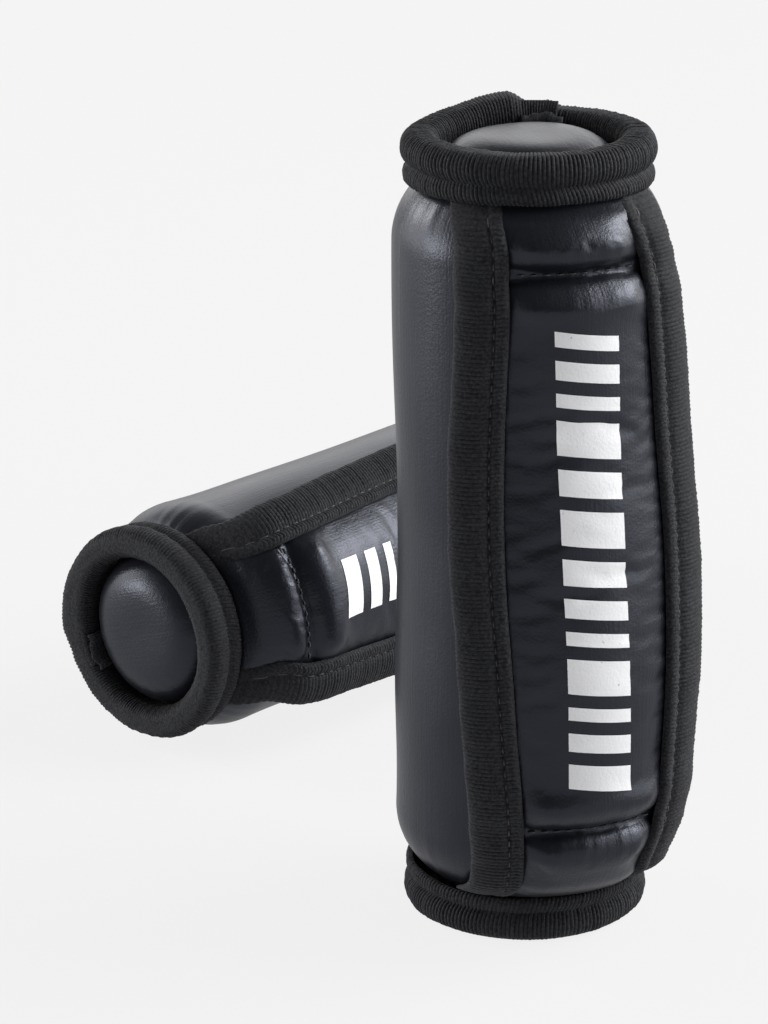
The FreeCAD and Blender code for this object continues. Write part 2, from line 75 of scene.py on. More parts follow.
# where a rim's lip ends on the cover, and where the cover, the lining and the face start under it
LIP_EDGE = 12.5
ARC_START = 9.6
COVER_START = 9.8
LINING_START = 9.0
FACE_START = 8.6
# a height up the strap from each end, that halves() turns into a point it doesn't use
BEND_END = 62.0
LOW_SEAMS = (34.0, 23.5)


class Grip:
    """One grip's place: where its foot is, which way it points and which way its strap faces."""

    def __init__(self, letter):
        self.body = f"grip_{letter}"
        self.strap = f"strap_{letter}"
        joint = next(j for j in frame["joints"] if j["child"] == self.strap)
        self.out = np.array(joint["axis"], float)
        self.out /= np.linalg.norm(self.out)
        low, high = (np.array(corner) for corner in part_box(f"{self.body}_cover"))
        middle = (low + high) / 2
        if abs(self.out[2]) < 1e-6:
            self.up = np.array([0.0, 0.0, 1.0])
        else:
            level = np.array([-self.out[1], self.out[0], 0.0])
            self.up = level / np.linalg.norm(level)
        self.across = np.cross(self.out, self.up)
        self.foot = middle - self.up * LENGTH * MM / 2

    def point(self, local):
        """Local (across, out, up) millimetres as metres in the frame."""
        across, out, up = np.moveaxis(np.asarray(local, float) * MM, -1, 0)[..., None]
        return self.foot + (across * self.across + out * self.out + up * self.up)


rim_low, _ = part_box("grip_a_bottom_rim")
_, rim_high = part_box("grip_a_top_rim")
LENGTH = (rim_high.z - rim_low.z) / MM
GRIPS = [Grip("a"), Grip("b")]


# ------------------------------------------------------------------------------- shader maths
class Wire:
    """A socket of a shader tree that the usual sums can be written with."""

    def __init__(self, shader, socket):
        self.shader = shader
        self.socket = socket

    def maths(self, kind, *values):
        return self.shader.node("ShaderNodeMath", values, operation=kind)

    def __add__(self, other):
        return self.maths("ADD", self, other)

    def __radd__(self, other):
        return self.maths("ADD", other, self)

    def __sub__(self, other):
        return self.maths("SUBTRACT", self, other)

    def __rsub__(self, other):
        return self.maths("SUBTRACT", other, self)

    def __mul__(self, other):
        return self.maths("MULTIPLY", self, other)

    def __rmul__(self, other):
        return self.maths("MULTIPLY", other, self)

    def wave(self):
        return self.maths("SINE", self)

    def clamp(self):
        floor = self.maths("MAXIMUM", self, 0.0)
        return self.maths("MINIMUM", floor, 1.0)

    def step(self, low, high):
        """0 below low, 1 above high and smooth between."""
        return self.shader.node(
            "ShaderNodeMapRange", {"Value": self, "From Min": low, "From Max": high},
            interpolation_type="SMOOTHSTEP",
        )


class Shader:
    """A procedural material."""

    def __init__(self, name, colour, roughness, **finish):
        self.material = bpy.data.materials.new(name)
        self.material.use_nodes = True
        self.tree = self.material.node_tree
        self.surface = self.tree.nodes["Principled BSDF"]
        self.material.diffuse_color = (*colour, 1.0)
        self.set("Base Color", (*colour, 1.0))
        self.set("Roughness", roughness)
        for socket, value in finish.items():
            self.set(socket.replace("_", " "), value)

    def node(self, kind, inputs=(), out=0, **settings):
        made = self.tree.nodes.new(kind)
        for key, value in settings.items():
            setattr(made, key, value)
        pairs = inputs.items() if isinstance(inputs, dict) else enumerate(inputs)
        for key, value in pairs:
            self.plug(made.inputs[key], value)
        return Wire(self, made.outputs[out])

    def plug(self, socket, value):
        if isinstance(value, Wire):
            self.tree.links.new(value.socket, socket)
        else:
            socket.default_value = value

    def set(self, socket, value):
        self.plug(self.surface.inputs[socket], value)

    def place(self):
        return self.node("ShaderNodeTexCoord", out="Object")

    def along(self):
        """The piece's own distances in millimetres: the first across it and the second along it."""
        flat = self.node("ShaderNodeUVMap", uv_map="cloth")
        outputs = self.node("ShaderNodeSeparateXYZ", [flat]).socket.node.outputs
        return Wire(self, outputs["X"]), Wire(self, outputs["Y"])

    def noise(self, scale, detail=2.0, where=None):
        where = where or self.place()
        return self.node("ShaderNodeTexNoise", {"Vector": where, "Scale": scale, "Detail": detail})

    def cells(self, scale):
        return self.node("ShaderNodeTexVoronoi", {"Vector": self.place(), "Scale": scale})

    def between(self, share, low, high):
        """A colour between two colours."""
        inputs = {0: share, 6: (*low, 1.0), 7: (*high, 1.0)}
        return self.node("ShaderNodeMix", inputs, out=2, data_type="RGBA")

    def bump(self, height, distance):
        """Raise the surface by height, in units of a distance in metres."""
        self.set("Normal", self.node("ShaderNodeBump", {"Distance": distance, "Height": height}))


def pu_leather(name, colour, bright, roughness, grain):
    """Soft synthetic leather: a fine pebbled grain over the ribs of its knitted backing."""
    sheen = (0.80, 0.84, 1.0, 1.0)
    shader = Shader(name, colour, roughness, Specular_IOR_Level=0.5, Specular_Tint=sheen)
    patches = shader.noise(45.0, 3.0)
    shader.set("Base Color", shader.between(patches.step(0.35, 0.75), colour, bright))
    across, along = shader.along()
    streaks = shader.node("ShaderNodeCombineXYZ", [across * 1.6, along * 0.05, 0.0])
    backing = shader.noise(1.0, 3.0, streaks)
    fine = shader.cells(1500.0)
    pores = shader.noise(4200.0, 2.0)
    creases = shader.noise(260.0, 4.0)
    shader.set("Roughness", patches * 0.10 + pores * 0.06 + backing * 0.08 + (roughness - 0.12))
    shader.bump(fine * 0.5 + pores * 0.3 + creases * 0.3 + backing * 0.9, grain)
    return shader.material


def knit_tape(name, colour, bright):
    """Dull knitted yarn: fuzzy, with light fuzz flecks and a painted highlight on the raised middle of
    every loop.
    """
    shader = Shader(name, colour, 0.8, Specular_IOR_Level=0.25, Sheen_Weight=0.06, Sheen_Roughness=0.5)
    fuzz = shader.noise(2600.0, 3.0)
    wear = shader.noise(140.0, 2.0)
    loops = shader.cells(1500.0)
    # the raised middle of every loop is painted lighter: a painted highlight, mixed with the fuzz's own
    # light flecks
    light = (1.0 - loops * 1.1) * fuzz * (wear + 0.6) * 1.2
    shader.set("Base Color", shader.between(light.clamp(), colour, bright))
    shader.bump(fuzz * 0.6 - loops * 0.7, 0.00012)
    return shader.material


def woven(name, colour, bright, pitch, depth):
    """A plain weave of two sets of threads."""
    shader = Shader(name, colour, 0.85)
    across, along = shader.along()
    weave = (across * (TAU / pitch)).wave() * (along * (TAU / pitch)).wave()
    shader.set("Base Color", shader.between(weave * 0.5 + 0.5, colour, bright))
    shader.bump(weave + shader.noise(1800.0) * 0.8, depth)
    return shader.material


def plain_weave(name, colour, bright):
    """Foam and bag cloth, with an even fine surface."""
    shader = Shader(name, colour, 0.9)
    threads = shader.cells(1400.0)
    shader.set("Base Color", shader.between(threads, colour, bright))
    shader.bump(threads + shader.noise(900.0), 0.0002)
    return shader.material


def grains(name, colour, bright):
    """Loose iron sand."""
    shader = Shader(name, colour, 0.55, Metallic=0.6)
    sand = shader.cells(1100.0)
    shader.set("Base Color", shader.between(sand, colour, bright))
    shader.bump(sand, 0.0006)
    return shader.material


def printed(name, colour, worn):
    """White ink that has worn thin in spots."""
    shader = Shader(name, colour, 0.5)
    spots = shader.noise(900.0, 3.0) * 0.6 + shader.noise(260.0, 2.0) * 0.4
    shader.set("Base Color", shader.between(spots.step(0.25, 0.36), worn, colour))
    shader.bump(shader.noise(1500.0, 3.0), 0.00008)
    return shader.material


def yarn(name, colour, bright):
    """Twisted sewing thread."""
    shader = Shader(name, colour, 0.7)
    twist = shader.noise(3000.0, 1.0)
    shader.set("Base Color", shader.between(twist, colour, bright))
    shader.bump(twist, 0.0001)
    return shader.material


LOOK = {
    look: make(look, *finish) for look, make, *finish in (
        ("pu_cover", pu_leather, (0.010, 0.0105, 0.0138), (0.015, 0.016, 0.0205), 0.35, 0.00006),
        ("pu_strap", pu_leather, (0.0075, 0.0082, 0.0110), (0.012, 0.0131, 0.0170), 0.33, 0.00007),
        # the knit's light colour is partly a painted highlight on its loops and partly its fuzz flecks
        ("knit_binding", knit_tape, (0.0065, 0.0069, 0.0084), (0.050, 0.052, 0.060)),
        ("strap_lining", woven, (0.012, 0.012, 0.013), (0.035, 0.035, 0.037), 1.1, 0.00025),
        ("foam", plain_weave, (0.10, 0.10, 0.11), (0.20, 0.20, 0.21)),
        ("bag_cloth", plain_weave, (0.35, 0.34, 0.31), (0.55, 0.54, 0.50)),
        ("iron_sand", grains, (0.03, 0.03, 0.03), (0.16, 0.155, 0.15)),
        ("print", printed, (0.93, 0.935, 0.95), (0.20, 0.20, 0.21)),
        ("thread", yarn, (0.035, 0.036, 0.040), (0.10, 0.10, 0.108)),
    )
}


# ------------------------------------------------------------------------------ mesh building
def grid_faces(rows, columns, closed=False, flip=False):
    """Quads of a grid of points, with the last column joined to the first if it is closed."""
    spans = columns if closed else columns - 1
    i, j = np.meshgrid(np.arange(rows - 1), np.arange(spans), indexing="ij")
    i, j = i.ravel(), j.ravel()
    k = (j + 1) % columns
    this, following = i * columns, (i + 1) * columns
    faces = np.stack([this + j, this + k, following + k, following + j], 1)
    return faces[:, ::-1] if flip else faces


def raw_mesh(name, points, faces):
    mesh = bpy.data.meshes.new(name)
    places = np.asarray(points, float).reshape(-1, 3).tolist()
    mesh.from_pydata(places, [], [list(map(int, f)) for f in faces])
    mesh.update()
    return mesh


def piece(name, points, faces, look, cloth, normals=None):
    """A shown mesh in the frame, smooth, with its cloth distances and its material."""
    mesh = raw_mesh(name, points, faces)
    mesh.polygons.foreach_set("use_smooth", np.ones(len(mesh.polygons), bool))
    layer = mesh.uv_layers.new(name="cloth")
    corner = np.zeros(len(mesh.loops), np.int32)
    mesh.loops.foreach_get("vertex_index", corner)
    layer.data.foreach_set("uv", np.asarray(cloth, np.float32).reshape(-1, 2)[corner].ravel())
    if normals is not None:
        mesh.normals_split_custom_set_from_vertices(normals.tolist())
    mesh.materials.append(LOOK[look])
    obj = bpy.data.objects.new(name, mesh)
    bpy.context.scene.collection.objects.link(obj)
    return obj


def smooth_between(places, values, wanted):
    """A curve through the values that is smooth and doesn't overshoot them."""
    x, y, at = (np.asarray(v, float) for v in (places, values, wanted))
    step = np.diff(x)
    slope = np.diff(y) / step
    tangent = np.zeros(len(x))
    same = slope[:-1] * slope[1:] > 0
    total = slope[:-1] + slope[1:]
    tangent[1:-1][same] = 2 * slope[:-1][same] * slope[1:][same] / total[same]
    tangent[0], tangent[-1] = slope[0], slope[-1]
    k = np.clip(np.searchsorted(x, at) - 1, 0, len(step) - 1)
    t = (at - x[k]) / step[k]
    outside = (t < 0) | (t > 1)
    cubic = (
        y[k] * (1 + 2 * t) * (1 - t) ** 2 + tangent[k] * step[k] * t * (1 - t) ** 2
        + y[k + 1] * t * t * (3 - 2 * t) + tangent[k + 1] * step[k] * t * t * (t - 1)
    )
    straight = np.where(t < 0, y[0] + tangent[0] * (at - x[0]), y[-1] + tangent[-1] * (at - x[-1]))
    return np.where(outside, straight, cubic)


def lumps(turn, height, seed, size):
    """Soft unevenness of a stuffed tube, as a sum of broad waves round it and along it."""
    span = 190
    chance = np.random.default_rng(seed)
    total = 0.0
    for round_count in (1, 2, 3, 4, 5):
        for along_count in (0.6, 1.3, 2.1):
            lean, start = chance.uniform(-1, 1), chance.uniform(0, TAU)
            wave = np.sin(round_count * turn + along_count * TAU * (height / span + lean * 0.2) + start)
            total = total + wave * chance.uniform(0.3, 1.0) / round_count
    return total * size / 2.2


def ripple(chance, turn, counts, fade=0.0):
    """A sum of waves round an end, each with its own start and size."""
    return sum(
        np.sin(count * turn + chance.uniform(0, TAU)) * chance.uniform(0.3, 1.0) / count ** fade
        for count in counts
    )


# ------------------------------------------------------------------------- repeated small things
def row_tree():
    """A node tree that lays copies of a small shape in a row along X, each a little different."""
    tree = bpy.data.node_groups.new("row_of_copies", "GeometryNodeTree")
    sockets = (
        ("Geometry", "Geometry"), ("Shape", "Object"), ("Count", "Int"), ("Step", "Float"),
        ("Slip", "Float"), ("Swell", "Float"), ("Seed", "Int"), ("Material", "Material"),
    )
    for name, kind in sockets:
        tree.interface.new_socket(name, in_out="INPUT", socket_type=f"NodeSocket{kind}")
    tree.interface.new_socket("Geometry", in_out="OUTPUT", socket_type="NodeSocketGeometry")

    def node(kind, inputs, **settings):
        made = tree.nodes.new(kind)
        for key, value in settings.items():
            setattr(made, key, value)
        for key, value in inputs.items():
            if isinstance(value, bpy.types.NodeSocket):
                tree.links.new(value, made.inputs[key])
            else:
                made.inputs[key].default_value = value
        return made

    def chance(low, high):
        ends = {"Min": low.outputs[0], "Max": high, "Seed": given["Seed"]}
        return node("FunctionNodeRandomValue", ends, data_type="FLOAT").outputs[1]

    given = tree.nodes.new("NodeGroupInput").outputs
    step = node("ShaderNodeCombineXYZ", {"X": given["Step"]})
    line = node("GeometryNodeMeshLine", {"Count": given["Count"], "Offset": step.outputs[0]}, mode="OFFSET")
    back = node("ShaderNodeMath", {0: given["Slip"], 1: -1.0}, operation="MULTIPLY")
    slip = node("ShaderNodeCombineXYZ", {"X": chance(back, given["Slip"])})
    moved = node("GeometryNodeSetPosition", {"Geometry": line.outputs[0], "Offset": slip.outputs[0]})
    thin = node("ShaderNodeMath", {0: 1.0, 1: given["Swell"]}, operation="SUBTRACT")
    thick = node("ShaderNodeMath", {0: 1.0, 1: given["Swell"]}, operation="ADD")
    swell = chance(thin, thick.outputs[0])
    scale = node("ShaderNodeCombineXYZ", {"X": 1.0, "Y": 1.0, "Z": swell})
    shape = node("GeometryNodeObjectInfo", {"Object": given["Shape"]})
    laid = node("GeometryNodeInstanceOnPoints", {
        "Points": moved.outputs[0], "Instance": shape.outputs["Geometry"], "Scale": scale.outputs[0],
    })
    real = node("GeometryNodeRealizeInstances", {"Geometry": laid.outputs[0]})
    painted = node("GeometryNodeSetMaterial", {"Geometry": real.outputs[0], "Material": given["Material"]})
    node("NodeGroupOutput", {0: painted.outputs[0]})
    return tree


ROW = row_tree()
ROW_SOCKET = {item.name: item.identifier for item in ROW.interface.items_tree if item.in_out == "INPUT"}


def copies(points, faces, count, step, look, swell, seed, slip=0.0):
    """Points and faces of a row of copies of a small shape, laid along X from half a step in."""
    scene = bpy.context.scene
    shape = bpy.data.objects.new("shape", raw_mesh("shape", points, faces))
    carrier = bpy.data.objects.new("carrier", bpy.data.meshes.new("carrier"))
    for obj in (shape, carrier):
        scene.collection.objects.link(obj)
    row = carrier.modifiers.new("row", "NODES")
    row.node_group = ROW
    settings = {
        "Shape": shape, "Count": count, "Step": step, "Slip": slip, "Swell": swell, "Seed": seed,
        "Material": LOOK[look],
    }
    for name, value in settings.items():
        row[ROW_SOCKET[name]] = value
    graph = bpy.context.evaluated_depsgraph_get()
    baked = bpy.data.meshes.new_from_object(carrier.evaluated_get(graph))
    where = np.zeros(len(baked.vertices) * 3)
    baked.vertices.foreach_get("co", where)
    loops = np.zeros(len(baked.loops), np.int32)
    baked.loops.foreach_get("vertex_index", loops)
    starts = np.array([p.loop_start for p in baked.polygons])
    totals = np.array([p.loop_total for p in baked.polygons])
    made_faces = [loops[s:s + t] for s, t in zip(starts, totals)]
    for obj in (carrier, shape):
        data = obj.data
        bpy.data.objects.remove(obj)
        bpy.data.meshes.remove(data)
    bpy.data.meshes.remove(baked)
    where = where.reshape(-1, 3)
    where[:, 0] += step / 2
    return where, made_faces


def stitch_shape(length, thick):
    """One stitch of thread: a short rounded strand along X that dips at both ends."""
    turns = np.linspace(0, TAU, 7)[:-1]
    places = np.array([-0.5, -0.38, -0.12, 0.12, 0.38, 0.5])
    heights = np.array([-0.9, -0.1, 0.25, 0.25, -0.1, -0.9]) * thick
    widths = np.array([0.55, 0.9, 1.0, 1.0, 0.9, 0.55]) * thick / 2
    points = [
        (x * length, math.cos(t) * w, h + math.sin(t) * w)
        for x, h, w in zip(places, heights, widths) for t in turns
    ]
    faces = [list(f) for f in grid_faces(len(places), len(turns), closed=True)]
    faces.append(list(range(len(turns)))[::-1])
    faces.append([len(points) - len(turns) + k for k in range(len(turns))])
    return points, faces


# --------------------------------------------------------------------------- cover and end discs
SIDE = ("bottom", "top")


def cover_radius(depth):
    """The cover's radius at a depth from the nearer end."""
    inwards = np.clip(SHOULDER_END - np.asarray(depth, float), 0, SHOULDER_END - ARC_START)
    return SHOULDER_CENTRE + np.sqrt(SHOULDER_ARC ** 2 - inwards ** 2)


def settle(points, faces, sewn, frames, pressure, spare):
    """Lets cloth that is a little too big for its sewn edges puff out and wrinkle.

    Points are in millimetres, and the cloth is worked out at twenty times its real size.
    """
    cloth_scale = 20 * MM
    points = np.asarray(points)
    scene = bpy.context.scene
    mesh = raw_mesh("cloth", points.reshape(-1, 3) * cloth_scale, faces)
    obj = bpy.data.objects.new("cloth", mesh)
    scene.collection.objects.link(obj)
    pinned = obj.vertex_groups.new(name="sewn")
    pinned.add([int(v) for v in np.flatnonzero(np.asarray(sewn).ravel())], 1.0, "REPLACE")
    cloth = obj.modifiers.new("cloth", "CLOTH")
    rules = cloth.settings
    rules.quality = 7
    rules.mass = 0.15
    rules.air_damping = 4.0
    rules.tension_stiffness = rules.compression_stiffness = 18.0
    rules.shear_stiffness = 6.0
    rules.bending_stiffness = 0.5
    rules.vertex_group_mass = "sewn"
    rules.pin_stiffness = 1.0
    rules.use_pressure = True
    rules.uniform_pressure_force = pressure
    rules.shrink_min = -spare
    rules.effector_weights.gravity = 0.0
    cloth.collision_settings.use_collision = False
    cloth.collision_settings.use_self_collision = False
    cloth.point_cache.frame_start = 1
    cloth.point_cache.frame_end = frames
    for step in range(1, frames + 1):
        scene.frame_set(step)
    evaluated = obj.evaluated_get(bpy.context.evaluated_depsgraph_get())
    settled = evaluated.to_mesh()
    where = np.zeros(len(settled.vertices) * 3)
    settled.vertices.foreach_get("co", where)
    evaluated.to_mesh_clear()
    bpy.data.objects.remove(obj)
    bpy.data.meshes.remove(mesh)
    scene.frame_set(1)
    return where.reshape(points.shape) / cloth_scale


def make_cover(grip, seed):
    """The stuffed tube, from inside one rim to inside the other."""
    heights = np.linspace(COVER_START, LENGTH - COVER_START, 150)
    turns = np.linspace(0, TAU, 193)[:-1]
    up, turn = np.meshgrid(heights, turns, indexing="ij")
    depth = np.minimum(up, LENGTH - up)
    past_lip = depth - LIP_EDGE
    # the tube is held in a little at the waist and near the foot, and gathered under the rims
    waist = 0.9 * np.exp(-((up - 98) / 34) ** 2) + 0.45 * np.exp(-((up - 36) / 15) ** 2)
    slack = np.maximum(lumps(turn, up, seed, 0.34) - waist, -1.0)
    chance = np.random.default_rng(seed + 5)
    gathers = 0.0
    for count in chance.integers(17, 61, 9):
        gathers = gathers + np.sin(count * turn + chance.uniform(0, TAU)) * chance.uniform(0.4, 1.0)
    gathers = gathers * 0.055 * np.exp(-np.clip(past_lip, 0, None) / 7)
    gathers = gathers * np.clip((past_lip + 2.0) / 3, 0, 1)
    radius = cover_radius(depth) + slack * np.clip(past_lip / 14, 0, 1) + gathers
    points = np.stack([radius * np.cos(turn), radius * np.sin(turn), up], -1)
    cloth = np.stack([turn * BODY_RADIUS, up], -1)
    faces = grid_faces(*up.shape, closed=True)
    obj = piece(f"{grip.body}_cover_leather", grip.point(points), faces, "pu_cover", cloth)
    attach(obj, grip.body)
    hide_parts(f"{grip.body}_cover")


def end_point(grip, where, top):
    """Turns (across, out, depth) at an end into the grip's own coordinates."""
    where = np.array(where, float)
    if top:
        where[..., 2] = LENGTH - where[..., 2]
    return grip.point(where)


def make_disc(grip, top, seed):
    """The padded end disc: a flattened dome that is drawn in where the rim is sewn to it."""
    turns = np.linspace(0, TAU, 97)[:-1]
    radius, turn = np.meshgrid(np.linspace(0.6, DISC_RADIUS, 46), turns, indexing="ij")
    share = radius / DISC_RADIUS
    crown = DOME_DEPTH - 0.3
    chance = np.random.default_rng(seed)
    pleats = ripple(chance, turn, chance.integers(9, 34, 7))
    depth = crown + 10.2 * share ** 5
    depth = depth + 0.09 * pleats * share ** 5 + 0.35 * share * np.sin(turn * 2 + seed) * (1 - share ** 4)
    points = np.stack([radius * np.cos(turn), radius * np.sin(turn), depth], -1).reshape(-1, 3)
    centre, columns = len(points), len(turns)
    points = np.vstack([points, [[0.0, 0.0, crown]]])
    faces = [list(f) for f in grid_faces(*radius.shape, closed=True, flip=True)]
    faces += [[centre, k, (k + 1) % columns] for k in range(columns)]
    if not top:
        faces = [f[::-1] for f in faces]
    side = SIDE[top]
    obj = piece(f"{grip.body}_{side}_dome", end_point(grip, points, top), faces, "pu_cover", points[:, :2])
    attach(obj, grip.body)
    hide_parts(f"{grip.body}_{side}_disc")


# ----------------------------------------------------------------------------------- rolled rims
# where the tape's ends meet behind the strap, at the bottom and at the top
JOIN = (math.radians(-80), math.radians(-100))


def rim_profile():
    """The knit tape's path at an end, as (radius, depth), from the outer lip over the roll."""
    lip = [
        (27.3, 10.9), (28.1, 10.95), (28.55, 10.4), (28.65, 9.4), (28.4, 8.4), (27.8, 7.6), (27.3, 7.0),
    ]
    roll = []
    for degrees in np.arange(46, -215, -12):
        angle = math.radians(degrees)
        radius = ROLL_CENTRE + ROLL_RADIUS * math.cos(angle)
        lowest = 0.02 + 0.04 * abs(math.cos(angle))
        roll.append((radius, max(ROLL_DEPTH + ROLL_RADIUS * math.sin(angle), lowest)))
    inner = [(21.6, 7.0), (21.4, 7.9), (21.7, 8.5), (22.2, 8.6)]
    return np.array(lip + roll + inner)


def outward_of(profile):
    """Unit directions off a profile, towards the side it shows."""
    tangent = np.gradient(profile, axis=0)
    tangent /= np.linalg.norm(tangent, axis=1)[:, None]
    return np.stack([-tangent[:, 1], tangent[:, 0]], 1)


def distance_along(path):
    """How far along its path each point of it lies."""
    return np.cumsum(np.r_[0, np.linalg.norm(np.diff(path, axis=0), axis=1)])


def rib_shape(widths, crown, slant, proud, step):
    """One rib across the tape; a point's Y is the number of its place on the tape's path."""
    points = [
        ((width + slant[k]) * step, k, rise * proud[k])
        for k in range(len(slant)) for width, rise in zip(widths, crown)
    ]
    return points, grid_faces(len(slant), len(widths))


def make_rim(grip, top, seed):
    """The rolled knit rim with a rib over the roll for every course of the tape."""
    profile = rim_profile()
    outward = outward_of(profile)
    count = 176
    pitch = TAU / count
    run = distance_along(profile)
    share = run / run[-1]
    slant = -3.2 * share - 0.8 * np.sin(share * TAU)
    places = [0, 0.8, 3.6, 4.9, 6.2, run[-1] - 2, run[-1]]
    proud = np.interp(run, places, [0.1, 0.28, 0.26, 0.06, 0.38, 0.32, 0.1])
    shape, faces = rib_shape((-0.5, -0.3, 0.0, 0.3, 0.5), (0.0, 0.72, 1.0, 0.72, 0.0), slant, proud, pitch)
    where, faces = copies(shape, faces, count, pitch, "knit_binding", swell=0.32, seed=seed)
    turn, raised = where[:, 0], where[:, 2]
    row = np.round(where[:, 1]).astype(int)
    # the roll is uneven, and swells where the tape's ends overlap behind the strap
    gap = (turn - JOIN[top] + math.pi) % TAU - math.pi
    over = np.where(gap > 0, np.exp(-(gap / 0.50) ** 1.5), np.exp(-(np.abs(gap) / 0.16) ** 2))
    over = over + 0.35 * np.exp(-((gap + 0.36) / 0.07) ** 2)
    uneven = ripple(np.random.default_rng(seed), turn, (2, 3, 5, 7, 11), 0.5)
    body = np.interp(share, [0, 0.2, 0.3, 0.5, 0.8, 1.0], [0.25, 0.35, 0.7, 1.0, 0.7, 0.2])[row]
    lift = raised * (1 - 0.55 * np.clip(over, 0, 1)) + (0.22 * uneven + 1.2 * over) * body
    if not top:
        # the foot stays flat
        lift = lift * np.clip(profile[row, 1] / 1.2, 0, 1)
    radius = profile[row, 0] + outward[row, 0] * lift
    depth = profile[row, 1] + outward[row, 1] * lift
    depth = depth - 2.4 * over * body if top else np.maximum(depth, 0.0)
    depth = depth + 0.225 * uneven * np.clip((0.16 - share[row]) / 0.16, 0, 1)
    points = np.stack([radius * np.cos(turn), radius * np.sin(turn), depth], -1)
    if not top:
        faces = [f[::-1] for f in faces]
    side = SIDE[top]
    cloth = np.stack([turn * 28, run[row]], -1)
    obj = piece(f"{grip.body}_{side}_knit_rim", end_point(grip, points, top), faces, "knit_binding", cloth)
    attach(obj, grip.body)
    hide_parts(f"{grip.body}_{side}_rim")


def make_tape_end(grip, top):
    """The cut end of the rim's tape, folded back on itself against the inside of the roll."""
    # the fold from the roll's crown down its inside, as (turn back from the join, radius, depth)
    fold = np.array([
        (0.00, 23.6, -1.9), (0.02, 22.3, -0.9), (0.03, 21.3, 0.8), (0.04, 20.7, 2.6), (0.05, 20.3, 4.4),
        (0.10, 19.7, 4.9), (0.16, 19.6, 4.0), (0.20, 20.0, 2.6), (0.22, 20.9, 0.9),
    ])
    if not top:
        fold[:, 2] = np.maximum(fold[:, 2], 0.3)
    ribs, width = 15, 0.44
    along, place = np.meshgrid(np.arange(len(fold)), np.linspace(0, 1, ribs * 4 + 1), indexing="ij")
    proud = 0.30 * np.abs(np.sin(place * ribs * math.pi)) ** 0.7
    sag = 0.5 * np.sin(place * math.pi * 2.3 + 0.6) + 0.25 * np.sin(place * math.pi * 5.1)
    back, radius, depth = np.moveaxis(fold[along], -1, 0)
    turn = JOIN[top] - 0.06 - back * 0.35 - place * width
    radius = radius - proud * 0.9 - 0.25 * sag
    depth = depth - proud * 0.25 + sag * (along > 2) * 0.8
    if not top:
        depth = np.maximum(depth, 0.2)
    points = np.stack([radius * np.cos(turn), radius * np.sin(turn), depth], -1)
    faces = grid_faces(*along.shape, flip=top)
    cloth = np.stack([place * 12.0, along * 1.6], -1)
    name = f"{grip.body}_{SIDE[top]}_tape_end"
    obj = piece(name, end_point(grip, points, top), faces, "knit_binding", cloth)
    wall = obj.modifiers.new("wall", "SOLIDIFY")
    wall.thickness = 0.8 * MM
    wall.offset = -1.0
    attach(obj, grip.body)


# ----------------------------------------------------------------------------------- the strap
class Strap:
    """The strap's shape: arcs about the grip at a row of heights, with smooth curves between them."""

    # height, space under the strap, shift of the arc's centre, width of the face, thickness of the
    # pad and how far the strap's middle leans to its left
    SECTIONS = [
        (11.2, 0.15, 0.0, 31.0, 0.2, -0.4),
        (15.2, 2.4, 2.0, 31.5, 1.8, 0.0),
        (19.2, 3.4, 5.3, 31.5, 3.4, 0.0),
        (34.0, 8.8, 0.8, 35.5, 1.5, -0.7),
        (44.0, 8.5, 1.2, 37.0, 3.4, -0.4),
        (65.3, 8.1, -3.3, 39.8, 3.4, -0.2),
        (96.6, 4.6, -11.0, 41.5, 3.4, 0.0),
        (133.2, 0.6, -10.0, 38.2, 3.4, 0.3),
        (156.5, 0.45, -3.8, 35.0, 3.2, 0.8),
        (164.5, 0.5, -3.5, 34.0, 1.3, 1.0),
        (169.8, 1.0, 0.5, 32.0, 1.5, 2.0),
        (174.8, 1.7, 0.0, 31.0, 0.5, 2.6),
        (178.8, 0.15, 0.0, 30.5, 0.2, 1.5),
    ]
    HIGH_SEAM = 164.5

    def __init__(self, grip, low_seam):
        self.grip = grip
        self.low_seam = low_seam
        heights, space, self.shift, self.width, self.pad, self.lean = np.array(self.SECTIONS).T
        # a low seam sewn nearer to the rim draws the sections beside it down with it
        start, usual, still = heights[0], heights[3], heights[5]
        above = np.clip((still - heights) / (still - usual), 0, 1)
        below = (heights - start) / (usual - start)
        self.heights = heights + (low_seam - usual) * np.where(heights < usual, below, above)
        self.space = space + cover_radius(np.minimum(self.heights, LENGTH - self.heights))
        self.stack = self.pad + FACE_WALL + LINING_WALL + 2 * LAYER_GAP

    def at_height(self, values, height):
        return smooth_between(self.heights, values, np.clip(height, STRAP_START, LENGTH - STRAP_START))

    def point(self, along_arc, height, under):
        """A place on the strap: distance from its middle, height, and depth under its face's outside."""
        places = (np.asarray(value, float) for value in (along_arc, height, under))
        along_arc, height, under = np.broadcast_arrays(*places)
        shift = self.at_height(self.shift, height)
        radius = self.at_height(self.space + self.stack, height) - shift
        turn = (along_arc + self.at_height(self.lean, height)) / radius
        far = radius - under
        return np.stack([far * np.sin(turn), shift + far * np.cos(turn), height], -1)

    def half_panel(self, height):
        return self.at_height(self.width / 2, height)

    def thickness(self, height):
        return self.at_height(self.stack, height)


def normals_of(points, faces):
    """Smooth normals of a whole piece, so that its halves can be shaded as one."""
    mesh = raw_mesh("whole", points, faces)
    found = np.zeros(len(mesh.vertices) * 3)
    mesh.vertex_normals.foreach_get("vector", found)
    bpy.data.meshes.remove(mesh)
    return found.reshape(-1, 3)


